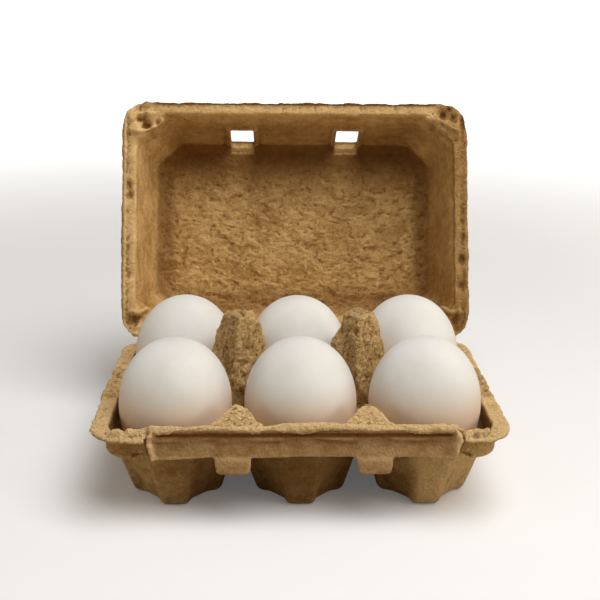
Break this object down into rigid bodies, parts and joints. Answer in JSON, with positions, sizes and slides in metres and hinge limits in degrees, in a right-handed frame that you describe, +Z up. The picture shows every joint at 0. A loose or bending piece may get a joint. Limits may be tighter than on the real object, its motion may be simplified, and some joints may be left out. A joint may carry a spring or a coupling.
{
  "type": "egg carton with eggs",
  "caption": "Open moulded-pulp egg carton with cupped tray, hinged lid, locking flap and white eggs, standing on its feet.",
  "frame": {"origin": "on the surface that the carton stands on, at the middle in plan of the whole carton with its lid standing open", "axes": "+Z up, +X to the right along the lid's hinge, +Y from the locking flap at the front towards the lid at the back"},
  "size_m": [0.159, 0.1728, 0.1366],
  "materials": {
    "pulp": "matte",
    "eggshell": "satin"
  },
  "bodies": {
    "tray": {"tray": "pulp", "egg_front_left": "eggshell", "egg_front_middle": "eggshell", "egg_front_right": "eggshell", "egg_back_left": "eggshell", "egg_back_middle": "eggshell", "egg_back_right": "eggshell"},
    "lid": {"lid": "pulp"},
    "flap": {"locking_flap": "pulp"}
  },
  "joints": [
    {"name": "lid_hinge", "type": "hinge", "parent": "tray", "child": "lid", "pos_m": [0, 0.01951, 0.0344], "axis": [1, 0, 0], "range_deg": [-61, 110.2]},
    {"name": "flap_fold", "type": "hinge", "parent": "tray", "child": "flap", "pos_m": [0, -0.08219, 0.0373], "axis": [-1, 0, 0], "range_deg": [0, 186]}
  ]
}
